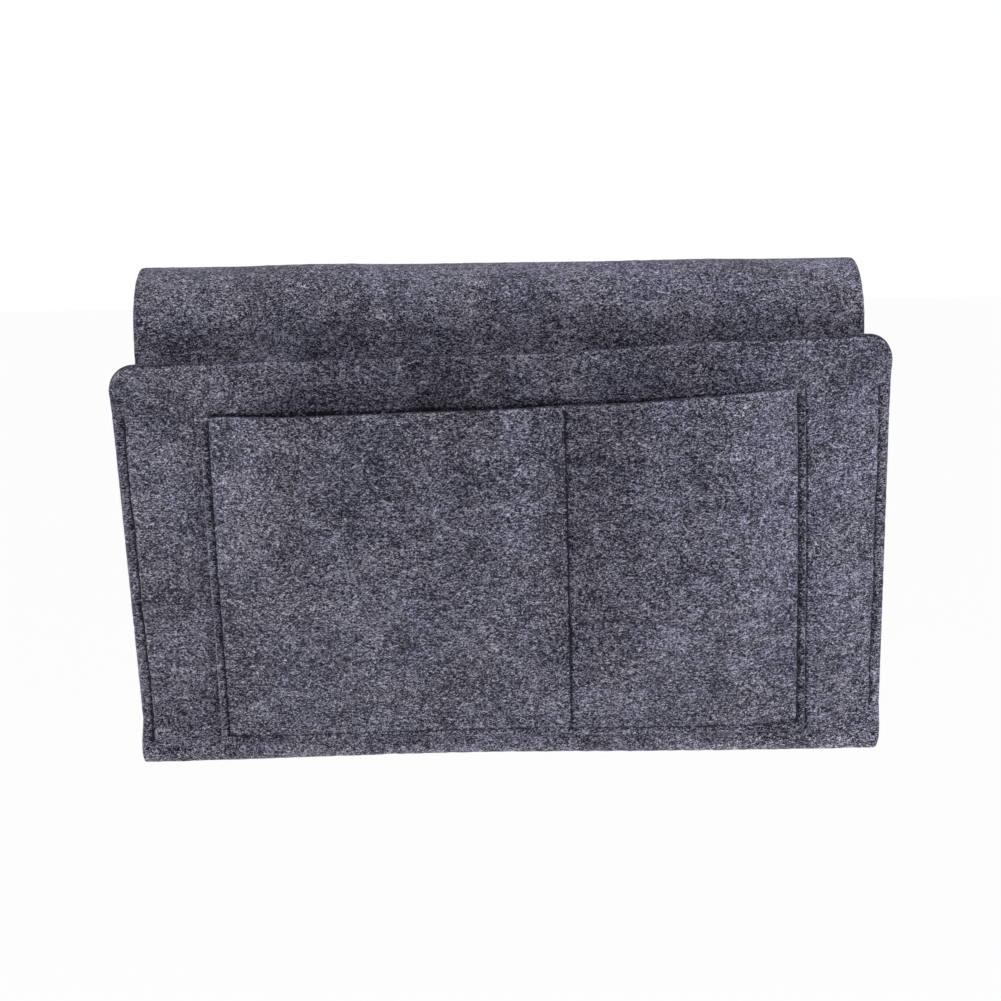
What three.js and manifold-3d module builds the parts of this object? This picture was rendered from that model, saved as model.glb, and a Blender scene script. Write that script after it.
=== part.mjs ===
import * as THREE from 'three';
import { mergeVertices } from 'three/addons/utils/BufferGeometryUtils.js';
import initManifold from 'manifold-3d';

const manifoldKit = await initManifold();
manifoldKit.setup();

// Driving sizes in millimetres. Z is up, X runs along the width, and the pouch's front faces -Y.
const FELT = 3; // thickness of every felt layer
const SEAT = 0.3; // clearance between layers that are sewn together

// Tongue, draped over an armrest
const TONGUE_WIDTH = 317;
const TONGUE_FLAT = 120; // flat stretch over the armrest
const ROLL_RADIUS = 25; // inside radius where the felt turns over the armrest's edges
const TAIL_DROP = 60; // straight stretch behind the armrest
const CORNER_RADIUS = 13; // cut corners of the mouth and of the tail

// Pouch
const BAG_DROP = 189; // straight back panel, from the roll to the underside of the bottom fold
const FRONT_HEIGHT = 180; // underside of the fold to the mouth's edge
const MOUTH_WIDTH = 340;
const MOUTH_FLARE = 12.5; // the mouth is this much wider than the pouch at the lower ends of its side seams
const FOLD_FLARE = 2; // and the fold, which no seam draws in, is this much wider
const FOLD_GAP = 7; // inside width of the bottom fold
const MOUTH_GAP = 32; // inside depth of the open mouth
const FLAT_HALF = 75; // half of the front panel's flat middle
const BELLY = 0.35; // how much sooner the pouch opens than a straight lean
const CORNER_OPEN = 9; // how far the mouth's free corners stand off the back
const MOUTH_RISE = 9; // the mouth's edge is cut higher on the right by this much
const SHOULDER_HEIGHT = 14; // the back panel narrows to the tongue over this height

// Side seams
const SEAM_INSET = 5; // cut edge to stitch line
const SEAM_LOW = 20; // lower end of the side seams above the fold's underside
const SEAM_BELOW_MOUTH = 22.5; // upper end of the side seams below the mouth's edge

// Outer pocket
const POCKET_WIDTH = 256.5;
const POCKET_HEIGHT = 147.7;
const POCKET_LOW = 9.8; // pocket's lower edge above the fold's underside
const POCKET_SHIFT = 0.4; // pocket's centre to the right of the pouch's centre
const POCKET_TURN = 0.004; // the pocket is sewn on turned by this many radians
const POCKET_INSET = 3.6; // cut edge to stitch line
const DIVIDER_SHIFT = 25.2; // divider seam to the right of the pocket's centre
const POCKET_BULGE = 9; // how far a compartment stands off the front panel
const BULGE_EASE = 34; // the pocket leaves a side seam over this width
const BULGE_RISE = 75; // and its bottom seam over this height
const SEAM_SHORT = 2; // pocket seams stop this far below the pocket's open edge

// Inner pocket
const INNER_WIDTH = 210;
const INNER_HEIGHT = 110;
const INNER_LOW = 30; // inner pocket's lower edge above the fold's underside
const INNER_DIVIDER = 20; // its divider seam to the right of its centre
const INNER_BULGE = 7;

// Sewing thread, sunk in a groove in the felt
const THREAD_RADIUS = 0.4;
const THREAD_CLEARANCE = 0.3; // around the thread in its groove
const THREAD_DEPTH = 0.5; // surface of the felt to the thread's centre line
const GROOVE_PROUD = 1; // the groove cutter stands this far out of the felt
const DIVIDER_START = 1.6; // divider thread begins this far above the bottom seam

// Fineness of curved surfaces
const ROLL_STEPS = 12;
const FOLD_STEPS = 10;
const EASE_COLUMNS = 14;
const FLAT_COLUMNS = 4;
const THREAD_SIDES = 6;
const SLOPE_STEP = 0.5;
const SAME_PLACE = 0.001; // places nearer to each other than this count as one

// Places worked out from the sizes
const LOW_WIDTH = MOUTH_WIDTH - MOUTH_FLARE;
const FOLD_WIDTH = LOW_WIDTH + FOLD_FLARE;
const BACK_Y = -(TONGUE_FLAT / 2 + ROLL_RADIUS + FELT); // front face of the back panel
const FOLD_Z = -(ROLL_RADIUS + BAG_DROP); // underside of the bottom fold
const FOLD_TOP = FELT + FOLD_GAP / 2; // the panels meet the fold at this height
const SEAM_TOP = FRONT_HEIGHT - SEAM_BELOW_MOUTH;
const GROOVE_HALF = THREAD_RADIUS + THREAD_CLEARANCE;
const GROOVE_DEPTH = THREAD_DEPTH + THREAD_RADIUS + THREAD_CLEARANCE;

const lerp = (a, b, t) => a + (b - a) * t;
const clamp01 = (t) => Math.min(1, Math.max(0, t));
const ease = (t) => clamp01(t) ** 2 * (3 - 2 * clamp01(t));
const steps = (from, to, count) => Array.from({ length: count + 1 }, (_, i) => lerp(from, to, i / count));
const sorted = (...lists) => {
  const all = lists.flat().sort((a, b) => a - b);
  return all.filter((value, i) => i === 0 || value - all[i - 1] > SAME_PLACE);
};

// The pouch is described by x, height above the fold's underside, and depth in front of the back panel.
const toWorld = ([x, height, depth]) => [x, BACK_Y - depth, FOLD_Z + height];

// Half width of the pouch's cut outline
function cutHalf(v) {
  if (v < SEAM_LOW) {
    return lerp(FOLD_WIDTH, LOW_WIDTH, (v - FOLD_TOP) / (SEAM_LOW - FOLD_TOP)) / 2;
  }
  return lerp(LOW_WIDTH, MOUTH_WIDTH, (v - SEAM_LOW) / (FRONT_HEIGHT - SEAM_LOW)) / 2;
}

function frontHalf(v) {
  const intoCorner = Math.max(0, v - (FRONT_HEIGHT - CORNER_RADIUS));
  return cutHalf(v) - CORNER_RADIUS + Math.sqrt(CORNER_RADIUS ** 2 - intoCorner ** 2);
}

const seamX = (v) => cutHalf(v) - SEAM_INSET;

// The mouth's edge rises to the right, and the fold stays level.
const upAt = (x, v) => v + (MOUTH_RISE * x * (v - FOLD_TOP)) / (MOUTH_WIDTH * (FRONT_HEIGHT - FOLD_TOP));

// Inside face of the front panel
function frontInner(x, v) {
  const t = (v - FOLD_TOP) / (FRONT_HEIGHT - FOLD_TOP);
  const middle = lerp(FOLD_GAP, MOUTH_GAP, t * (1 + BELLY * (1 - t)));
  const pinched = lerp(FOLD_GAP, SEAT, ease((v - FOLD_TOP) / (SEAM_LOW - FOLD_TOP)));
  const freed = CORNER_OPEN * clamp01((v - SEAM_TOP) / SEAM_BELOW_MOUTH) ** 2;
  const dome = ease((seamX(v) - Math.abs(x)) / (seamX(v) - FLAT_HALF));
  return lerp(pinched + freed, middle, dome);
}

// Outer face of a sheet whose inner face is a function of two places
function lifted(inner, p, q) {
  const slopeP = (inner(p + SLOPE_STEP, q) - inner(p - SLOPE_STEP, q)) / (2 * SLOPE_STEP);
  const slopeQ = (inner(p, q + SLOPE_STEP) - inner(p, q - SLOPE_STEP)) / (2 * SLOPE_STEP);
  return inner(p, q) + FELT * Math.hypot(1, slopeP, slopeQ);
}

const frontOuter = (x, v) => lifted(frontInner, x, v);

// Stand-off of a pocket that is sewn at left, right and bottom and at a divider
function pocketRise(a, half, divider, bulge) {
  const left = a < divider;
  const from = left ? -half : divider;
  const to = left ? divider : half;
  const width = Math.min(BULGE_EASE, (to - from) / 2);
  const across = ease((a - from) / width) * ease((to - a) / width);
  return bulge * across;
}

const POCKET_SEAM = POCKET_WIDTH / 2 - POCKET_INSET;
const INNER_SEAM = INNER_WIDTH / 2 - POCKET_INSET;

// The pocket's own places a and b, on the front panel
function pocketPlace(a, b) {
  const x = POCKET_SHIFT + a * Math.cos(POCKET_TURN) - b * Math.sin(POCKET_TURN);
  const v = POCKET_LOW + b * Math.cos(POCKET_TURN) + a * Math.sin(POCKET_TURN);
  return [x, v];
}

function pocketInner(a, b) {
  const rise = ease((b - POCKET_INSET) / BULGE_RISE);
  const standOff = pocketRise(a, POCKET_SEAM, DIVIDER_SHIFT, POCKET_BULGE) * rise;
  return frontOuter(...pocketPlace(a, b)) + SEAT + standOff;
}

const pocketOuter = (a, b) => lifted(pocketInner, a, b);

function innerInner(a, b) {
  const rise = clamp01((b - POCKET_INSET) / (INNER_HEIGHT - POCKET_INSET));
  return SEAT + pocketRise(a, INNER_SEAM, INNER_DIVIDER, INNER_BULGE) * rise;
}

const innerOuter = (a, b) => lifted(innerInner, a, b);

// Where a place on each sheet is in the pouch
const onFront = (depthOf) => (x, v) => [x, upAt(x, v), depthOf(x, v)];
const onPocket = (depthOf) => (a, b) => {
  const [x, v] = pocketPlace(a, b);
  return [x, upAt(x, v), depthOf(a, b)];
};
const onInner = (depthOf) => (a, b) => [a, INNER_LOW + b, depthOf(a, b)];

function geometryOf(points, triangles) {
  const geometry = new THREE.BufferGeometry();
  geometry.setAttribute('position', new THREE.Float32BufferAttribute(points.flat(), 3));
  geometry.setIndex(triangles.flat());
  return geometry;
}

// A closed sheet between two faces that share one grid of rows and columns
function sheet(rows, columnsAt, innerPoint, outerPoint) {
  const count = columnsAt(rows[0]).length;
  const points = [];
  for (const point of [innerPoint, outerPoint]) {
    for (const row of rows) {
      points.push(...columnsAt(row).map((column) => toWorld(point(column, row))));
    }
  }
  const inner = (i, j) => i * count + j;
  const outer = (i, j) => rows.length * count + inner(i, j);
  const triangles = [];
  const quad = (p, q, r, s) => triangles.push([p, q, r], [p, r, s]);
  const lastRow = rows.length - 1;
  const lastColumn = count - 1;
  for (let i = 0; i < lastRow; i += 1) {
    for (let j = 0; j < lastColumn; j += 1) {
      quad(outer(i, j), outer(i, j + 1), outer(i + 1, j + 1), outer(i + 1, j));
      quad(inner(i, j), inner(i + 1, j), inner(i + 1, j + 1), inner(i, j + 1));
    }
    quad(outer(i, lastColumn), inner(i, lastColumn), inner(i + 1, lastColumn), outer(i + 1, lastColumn));
    quad(outer(i + 1, 0), inner(i + 1, 0), inner(i, 0), outer(i, 0));
  }
  for (let j = 0; j < lastColumn; j += 1) {
    quad(outer(0, j), inner(0, j), inner(0, j + 1), outer(0, j + 1));
    quad(outer(lastRow, j + 1), inner(lastRow, j + 1), inner(lastRow, j), outer(lastRow, j));
  }
  return geometryOf(points, triangles);
}

// A closed bar along a path in the pouch. Its section is given beside the path and out of the felt.
function bar(path, section, out) {
  const points = [];
  path.forEach((here, i) => {
    const before = path[Math.max(0, i - 1)];
    const after = path[Math.min(path.length - 1, i + 1)];
    const into = new THREE.Vector2(here[0] - before[0], here[1] - before[1]);
    const away = new THREE.Vector2(after[0] - here[0], after[1] - here[1]);
    const first = into.length() > 0 ? into.normalize() : away.clone().normalize();
    const second = away.length() > 0 ? away.normalize() : first;
    const along = first.clone().add(second).normalize();
    const mitre = 1 / along.dot(first);
    const side = [along.y * mitre * out, -along.x * mitre * out];
    for (const [beside, above] of section) {
      points.push(toWorld([here[0] + side[0] * beside, here[1] + side[1] * beside, here[2] + out * above]));
    }
  });
  const around = section.length;
  const triangles = [];
  for (let i = 0; i + 1 < path.length; i += 1) {
    for (let j = 0; j < around; j += 1) {
      const next = (j + 1) % around;
      const low = i * around;
      const high = low + around;
      triangles.push([low + j, high + next, low + next], [low + j, high + j, high + next]);
    }
  }
  const end = (path.length - 1) * around;
  for (let j = 1; j + 1 < around; j += 1) {
    triangles.push([0, j, j + 1], [end, end + j + 1, end + j]);
  }
  return geometryOf(points, triangles);
}

const grooveSection = [
  [-GROOVE_HALF, -GROOVE_DEPTH],
  [GROOVE_HALF, -GROOVE_DEPTH],
  [GROOVE_HALF, GROOVE_PROUD],
  [-GROOVE_HALF, GROOVE_PROUD],
];
const threadSection = Array.from({ length: THREAD_SIDES }, (_, i) => {
  const angle = ((i + 0.5) * 2 * Math.PI) / THREAD_SIDES;
  return [THREAD_RADIUS * Math.cos(angle), THREAD_RADIUS * Math.sin(angle) - THREAD_DEPTH];
});

// A path that is longer at both ends by the thread's clearance
function lengthened(path) {
  const beyond = (end, next) => {
    const from = new THREE.Vector3(...next);
    const to = new THREE.Vector3(...end);
    const away = to.clone().sub(from).setLength(THREAD_CLEARANCE);
    return to.add(away).toArray();
  };
  const last = path.length - 1;
  return [beyond(path[0], path[1]), ...path.slice(1, last), beyond(path[last], path[last - 1])];
}

// out is 1 on a face that looks to the front and -1 on one that looks to the back.
const grooveCutter = ({ path, out }) => bar(lengthened(path), grooveSection, out);
const thread = ({ path, out }) => bar(path, threadSection, out);

function toManifold(geometry) {
  const bare = new THREE.BufferGeometry();
  bare.setAttribute('position', geometry.getAttribute('position'));
  bare.setIndex(geometry.getIndex());
  const merged = mergeVertices(bare, 1e-5);
  const mesh = new manifoldKit.Mesh({
    numProp: 3,
    vertProperties: new Float32Array(merged.getAttribute('position').array),
    triVerts: new Uint32Array(merged.getIndex().array),
  });
  return new manifoldKit.Manifold(mesh);
}

function withGrooves(geometry, seams) {
  let solid = toManifold(geometry);
  for (const seam of seams) {
    solid = solid.subtract(toManifold(grooveCutter(seam)));
  }
  const mesh = solid.getMesh();
  const result = new THREE.BufferGeometry();
  result.setAttribute('position', new THREE.Float32BufferAttribute(mesh.vertProperties, mesh.numProp));
  result.setIndex(new THREE.Uint32BufferAttribute(mesh.triVerts, 1));
  return result;
}

// Outlines are drawn in a plane and given a thickness square to it.
function extruded(shape, depth, curveSegments) {
  return new THREE.ExtrudeGeometry(shape, { depth, curveSegments, bevelEnabled: false });
}

// Drawn in the plane of Y and Z, and centred along X
function acrossWidth(shape, width, curveSegments) {
  const geometry = extruded(shape, width, curveSegments);
  const turn = new THREE.Matrix4().makeBasis(
    new THREE.Vector3(0, 1, 0),
    new THREE.Vector3(0, 0, 1),
    new THREE.Vector3(1, 0, 0),
  );
  return geometry.applyMatrix4(turn).translate(-width / 2, 0, 0);
}

// Drawn in the plane of X and Z, with its rear face at the given Y
function facingFront(shape, rearY, curveSegments) {
  const geometry = extruded(shape, FELT, curveSegments);
  return geometry.applyMatrix4(new THREE.Matrix4().makeRotationX(Math.PI / 2)).translate(0, rearY, 0);
}

function ringSector(y, z, innerRadius, from, to) {
  const shape = new THREE.Shape();
  shape.absarc(y, z, innerRadius + FELT, from, to, false);
  shape.absarc(y, z, innerRadius, to, from, true);
  return shape;
}

// Rows and columns of the curved sheets
const cornerLow = FRONT_HEIGHT - CORNER_RADIUS;
const cornerRows = steps(0, Math.PI / 2, 4).map((angle) => cornerLow + CORNER_RADIUS * Math.sin(angle));
const seamRows = steps(SEAM_LOW, SEAM_TOP, 9);
const frontRows = sorted(steps(FOLD_TOP, SEAM_LOW, 4), seamRows, steps(SEAM_TOP, cornerLow, 2), cornerRows);

function frontColumns(v) {
  const half = frontHalf(v);
  const seam = half - SEAM_INSET;
  const eased = steps(FLAT_HALF, seam, EASE_COLUMNS);
  const flat = steps(-FLAT_HALF, FLAT_HALF, FLAT_COLUMNS);
  return sorted([-half, half], eased, eased.map((x) => -x), flat);
}

function pocketColumns(half, seam, divider) {
  const left = Math.min(BULGE_EASE, (divider + seam) / 2);
  const right = Math.min(BULGE_EASE, (seam - divider) / 2);
  return sorted(
    [-half, half],
    steps(-seam, -seam + left, 4),
    steps(-seam + left, divider - left, 4),
    steps(divider - left, divider, 4),
    steps(divider, divider + right, 4),
    steps(divider + right, seam - right, 2),
    steps(seam - right, seam, 4),
  );
}

const outerColumns = pocketColumns(POCKET_WIDTH / 2, POCKET_SEAM, DIVIDER_SHIFT);
const outerSeamTop = POCKET_HEIGHT - SEAM_SHORT;
const outerRows = sorted(
  [0, POCKET_HEIGHT],
  steps(POCKET_INSET, POCKET_INSET + BULGE_RISE, 6),
  steps(POCKET_INSET + BULGE_RISE, outerSeamTop, 4),
);
const innerColumns = pocketColumns(INNER_WIDTH / 2, INNER_SEAM, INNER_DIVIDER);
const innerSeamTop = INNER_HEIGHT - SEAM_SHORT;
const innerRows = sorted([0, INNER_HEIGHT], steps(POCKET_INSET, innerSeamTop, 5));

// Stitch lines, as paths on the face that each thread lies on
function edgeSeam(place, rows, columns, seam, top, out) {
  const heights = rows.filter((b) => b >= POCKET_INSET - SAME_PLACE && b <= top + SAME_PLACE);
  const places = columns.filter((a) => Math.abs(a) < seam - SAME_PLACE);
  const path = [
    ...[...heights].reverse().map((b) => place(-seam, b)),
    ...places.map((a) => place(a, POCKET_INSET)),
    ...heights.map((b) => place(seam, b)),
  ];
  return { path, out };
}

function dividerSeam(place, rows, divider, top, out) {
  const start = POCKET_INSET + DIVIDER_START;
  const heights = sorted([start, top], rows.filter((b) => b > start && b < top));
  return { path: heights.map((b) => place(divider, b)), out };
}

function sideSeam(side, depthOf, out) {
  const path = seamRows.map((v) => onFront(depthOf)(side * seamX(v), v));
  return { path, out };
}

const rearOfBack = () => -FELT;
const seams = {
  left_seam_needle_thread: sideSeam(-1, frontOuter, 1),
  left_seam_bobbin_thread: sideSeam(-1, rearOfBack, -1),
  right_seam_needle_thread: sideSeam(1, frontOuter, 1),
  right_seam_bobbin_thread: sideSeam(1, rearOfBack, -1),
};
const behindPocket = (a, b) => frontInner(...pocketPlace(a, b));
for (const [name, depthOf, out] of [['needle', pocketOuter, 1], ['bobbin', behindPocket, -1]]) {
  const place = onPocket(depthOf);
  seams[`pocket_seam_${name}_thread`] =
    edgeSeam(place, outerRows, outerColumns, POCKET_SEAM, outerSeamTop, out);
  seams[`pocket_divider_${name}_thread`] =
    dividerSeam(place, outerRows, DIVIDER_SHIFT, outerSeamTop, out);
}
for (const [name, depthOf, out] of [['needle', innerOuter, 1], ['bobbin', rearOfBack, -1]]) {
  const place = onInner(depthOf);
  seams[`inner_seam_${name}_thread`] =
    edgeSeam(place, innerRows, innerColumns, INNER_SEAM, innerSeamTop, out);
  seams[`inner_divider_${name}_thread`] =
    dividerSeam(place, innerRows, INNER_DIVIDER, innerSeamTop, out);
}
const grooves = (...names) => names.map((name) => seams[`${name}_thread`]);

// Back panel's outline, narrowed above the side seams to the tongue's width
function backOutline() {
  const shape = new THREE.Shape();
  const low = SEAM_TOP + MOUTH_RISE / 2;
  const high = low + SHOULDER_HEIGHT;
  const middle = (low + high) / 2;
  const tongue = TONGUE_WIDTH / 2;
  const wide = cutHalf(low);
  shape.moveTo(-cutHalf(FOLD_TOP), FOLD_Z + FOLD_TOP);
  shape.lineTo(cutHalf(FOLD_TOP), FOLD_Z + FOLD_TOP);
  shape.lineTo(cutHalf(SEAM_LOW), FOLD_Z + SEAM_LOW);
  shape.lineTo(wide, FOLD_Z + low);
  shape.bezierCurveTo(wide, FOLD_Z + middle, tongue, FOLD_Z + middle, tongue, FOLD_Z + high);
  shape.lineTo(tongue, -ROLL_RADIUS);
  shape.lineTo(-tongue, -ROLL_RADIUS);
  shape.lineTo(-tongue, FOLD_Z + high);
  shape.bezierCurveTo(-tongue, FOLD_Z + middle, -wide, FOLD_Z + middle, -wide, FOLD_Z + low);
  shape.lineTo(-cutHalf(SEAM_LOW), FOLD_Z + SEAM_LOW);
  return shape;
}

function tailOutline() {
  const half = TONGUE_WIDTH / 2;
  const end = -ROLL_RADIUS - TAIL_DROP;
  const shape = new THREE.Shape();
  shape.moveTo(half, -ROLL_RADIUS);
  shape.lineTo(-half, -ROLL_RADIUS);
  shape.absarc(-half + CORNER_RADIUS, end + CORNER_RADIUS, CORNER_RADIUS, Math.PI, 1.5 * Math.PI, false);
  shape.absarc(half - CORNER_RADIUS, end + CORNER_RADIUS, CORNER_RADIUS, 1.5 * Math.PI, 2 * Math.PI, false);
  return shape;
}

const feltMaterial = () => new THREE.MeshStandardMaterial({ color: 0x5b5a67, roughness: 0.95, metalness: 0 });
const threadMaterial = () => new THREE.MeshStandardMaterial({ color: 0x2a2b33, roughness: 0.8, metalness: 0 });

const organizer = new THREE.Group();
organizer.name = 'armrest_organizer';
function add(name, geometry, material) {
  geometry.computeVertexNormals();
  const mesh = new THREE.Mesh(geometry, material);
  mesh.name = name;
  organizer.add(mesh);
}

// Main sheet, from the tail over the armrest and down to the mouth
const rollY = TONGUE_FLAT / 2;
const tongue = new THREE.BoxGeometry(TONGUE_WIDTH, TONGUE_FLAT, FELT).translate(0, 0, FELT / 2);
add('tongue', tongue, feltMaterial());
const innerRoll = ringSector(rollY, -ROLL_RADIUS, ROLL_RADIUS, 0, Math.PI / 2);
add('inner_roll', acrossWidth(innerRoll, TONGUE_WIDTH, ROLL_STEPS), feltMaterial());
add('tail', facingFront(tailOutline(), rollY + ROLL_RADIUS + FELT, ROLL_STEPS / 2), feltMaterial());
const outerRoll = ringSector(-rollY, -ROLL_RADIUS, ROLL_RADIUS, Math.PI / 2, Math.PI);
add('outer_roll', acrossWidth(outerRoll, TONGUE_WIDTH, ROLL_STEPS), feltMaterial());

const backGrooves = grooves('left_seam_bobbin', 'right_seam_bobbin', 'inner_seam_bobbin', 'inner_divider_bobbin');
const back = withGrooves(facingFront(backOutline(), BACK_Y + FELT, ROLL_STEPS / 2), backGrooves);
add('back_panel', back, feltMaterial());
const fold = ringSector(BACK_Y - FOLD_GAP / 2, FOLD_Z + FOLD_TOP, FOLD_GAP / 2, Math.PI, 2 * Math.PI);
add('bottom_fold', acrossWidth(fold, FOLD_WIDTH, FOLD_STEPS), feltMaterial());
const frontGrooves = grooves('left_seam_needle', 'right_seam_needle', 'pocket_seam_bobbin', 'pocket_divider_bobbin');
const front = sheet(frontRows, frontColumns, onFront(frontInner), onFront(frontOuter));
add('front_panel', withGrooves(front, frontGrooves), feltMaterial());

// Pocket panels
const outer = sheet(outerRows, () => outerColumns, onPocket(pocketInner), onPocket(pocketOuter));
const outerGrooves = grooves('pocket_seam_needle', 'pocket_divider_needle');
add('outer_pocket', withGrooves(outer, outerGrooves), feltMaterial());
const inner = sheet(innerRows, () => innerColumns, onInner(innerInner), onInner(innerOuter));
const innerGrooves = grooves('inner_seam_needle', 'inner_divider_needle');
add('inner_pocket', withGrooves(inner, innerGrooves), feltMaterial());

for (const [name, seam] of Object.entries(seams)) {
  add(name, thread(seam), threadMaterial());
}

export default organizer;
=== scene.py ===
import math

import bpy
import numpy as np
from mathutils import Matrix, Vector

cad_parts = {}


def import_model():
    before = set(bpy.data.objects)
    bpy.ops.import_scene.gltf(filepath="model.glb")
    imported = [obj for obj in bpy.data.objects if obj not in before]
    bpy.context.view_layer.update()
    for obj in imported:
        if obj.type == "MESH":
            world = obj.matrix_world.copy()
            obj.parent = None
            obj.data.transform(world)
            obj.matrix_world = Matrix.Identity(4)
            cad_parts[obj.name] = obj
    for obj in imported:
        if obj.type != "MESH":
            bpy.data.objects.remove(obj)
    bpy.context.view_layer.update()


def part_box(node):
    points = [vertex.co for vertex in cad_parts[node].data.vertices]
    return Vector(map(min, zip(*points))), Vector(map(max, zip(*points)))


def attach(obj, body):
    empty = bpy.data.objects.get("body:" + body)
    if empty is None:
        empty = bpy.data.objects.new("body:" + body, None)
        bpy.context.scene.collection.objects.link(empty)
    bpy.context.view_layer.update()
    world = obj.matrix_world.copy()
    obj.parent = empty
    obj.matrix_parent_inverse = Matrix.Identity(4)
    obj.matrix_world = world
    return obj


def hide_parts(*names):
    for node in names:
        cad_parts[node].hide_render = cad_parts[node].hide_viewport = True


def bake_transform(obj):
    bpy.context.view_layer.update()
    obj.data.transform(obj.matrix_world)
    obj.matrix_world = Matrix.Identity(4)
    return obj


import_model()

dice = np.random.default_rng(11)
MM = 0.001  # sizes below are in millimetres


def node_box(name):
    """Lowest and highest corner of a CAD node, in millimetres."""
    low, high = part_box(name)
    return np.array(low) / MM, np.array(high) / MM


# Sizes read off the CAD nodes
tongue_low, tongue_high = node_box("tongue")
FELT = tongue_high[2] - tongue_low[2]
TONGUE_HALF = tongue_high[0]
FLAT_HALF_Y = tongue_high[1]
tail_low, tail_high = node_box("tail")
TAIL_END = tail_low[2]
ROLL_RADIUS = -tail_high[2]
BACK_Y = node_box("back_panel")[0][1]
fold_low, fold_high = node_box("bottom_fold")
FOLD_Z = fold_low[2]
FOLD_TOP = fold_high[2] - FOLD_Z
FOLD_GAP = 2 * (FOLD_TOP - FELT)

# Sizes that the boxes don't show
SEAT = 0.3  # gap between two layers of felt
MOUTH_WIDTH = 340.0
LOW_WIDTH = 327.5
FRONT_HEIGHT = 180.0
MOUTH_GAP = 32.0
FLAT_HALF = 75.0  # the pouch stands fully open this far from its middle
BELLY = 0.35  # and is fuller below its mouth
CORNER_OPEN = 9.0  # the mouth's corners are free above the side seams
CORNER = 13.0
MOUTH_RISE = 9.0  # the mouth is this much higher at its right end
SHOULDER = 14.0  # the back panel narrows to the tongue over this height
SEAM_INSET = 5.0  # from the cut edge to a side seam
SEAM_LOW = 20.0  # the pouch's sides are closed from here up
SEAM_END = {-1: 10.0, 1: 16.5}  # the left and right side seams are sewn down to here
SEAM_TOP = FRONT_HEIGHT - 22.5
POCKET_WIDTH = 256.5
POCKET_HEIGHT = 147.7
POCKET_LOW = 9.8
POCKET_SHIFT = 0.4
POCKET_TURN = 0.004
POCKET_INSET = 3.6  # from the cut edge to a pocket's seam
POCKET_SEAM = POCKET_WIDTH / 2 - POCKET_INSET
DIVIDER = 25.2
POCKET_BULGE = 9.0
BULGE_EASE = 34.0  # a compartment stands off within this width
BULGE_RISE = 75.0  # and this height of its seams
SEAM_SHORT = 2.0  # a pocket's seams end this far below its upper edge
INNER_WIDTH = 210.0
INNER_HEIGHT = 110.0
INNER_LOW = 30.0
INNER_SEAM = INNER_WIDTH / 2 - POCKET_INSET
INNER_DIVIDER = 20.0
INNER_BULGE = 7.0

# How the soft felt hangs, as in the photo
LEAN = 0.017  # the pouch hangs this much askew, sideways per height
FOLD_WIDTH = 326.0  # the fold is a little narrower than its solid
FOLD_SHIFT = 1.0  # and sits a little to the left
FOLD_PINCH = 0.7  # its ends are drawn in at the very bottom
JOIN_HEIGHT = 185.0  # the pouch's stretch of the main sheet meets the bending stretch here
FULLNESS = 0.9  # 0 for a pouch that rises gently from its side seams, 1 for one that rises straight away
FULL_TO = 115.0  # less so above this height
FULL_LOSS = 0.8  # by this share at the mouth
BOTTOM_BOW = 1.6  # the fold hangs higher left of its middle
BOW_AT, BOW_WIDTH, BOW_HEIGHT = -25.0, 85.0, 70.0
MOUTH_WAVES = ((0.8, 88.0, 24.0), (-0.9, 14.0, 34.0), (0.4, -92.0, 34.0))  # rise, middle and width of each
FRONT_WAVE = 0.7  # soft waviness of the front panel, the pocket and the tongue
POCKET_WAVE = 0.35
TONGUE_WAVE = 0.5
LOOSE_FROM, LOOSE_OVER, LOOSE_END = 20.0, 60.0, 30.0  # the tongue's starts off its middle
LOOSE_HEIGHT, LOOSE_RISE = 40.0, 3.0  # and the pocket's starts off its seams
POCKET_SLANT = 1.3  # the pocket's edge rises towards its right end
SLANT_FROM, SLANT_OVER = 30.0, 95.0

# How it is cut and sewn
EDGE_ROUND = 1.2
FRAY = 0.05  # unevenness of the cut edges
FRAY_REACH = 2.0
NAP = 0.09  # unevenness of the felt's faces
STITCH = 3.9
THREAD = 0.36
THREAD_ROUND = 1.2  # its twist's place once round it
BURIED = 1.8  # how deep the thread dives between stitches
BURIED_INSIDE = 1.1  # and where the outer pocket's seams come out on the front panel's inside
STITCH_RISE = 1.3
STITCH_SLANT = 0.22
STITCH_WANDER = 0.17
SEAM_WAVES = ((0.22, 9.0, 0.0), (0.16, 3.7, 1.0))  # depth, length and start of a side seam's wander
GROOVE = 1.05  # depth to which a seam pulls the felt in
GROOVE_WIDTH = 0.8
SEAM_FADE = 1.0  # it fades out at a seam's ends
HOLE = 0.22  # share by which it is shallower between the needle's holes
RIDGE = 0.22  # felt pushed up beside a seam
RIDGE_AT, RIDGE_WIDTH = 2.9, 1.2
PRESSED_WIDTH = 0.75
VALLEY = 0.75  # the pocket's seam presses the front panel in
VALLEY_WIDTH = 4.6
VALLEY_PAST, VALLEY_EASE = 2.0, 8.0  # it fades out just above the pocket
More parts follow.
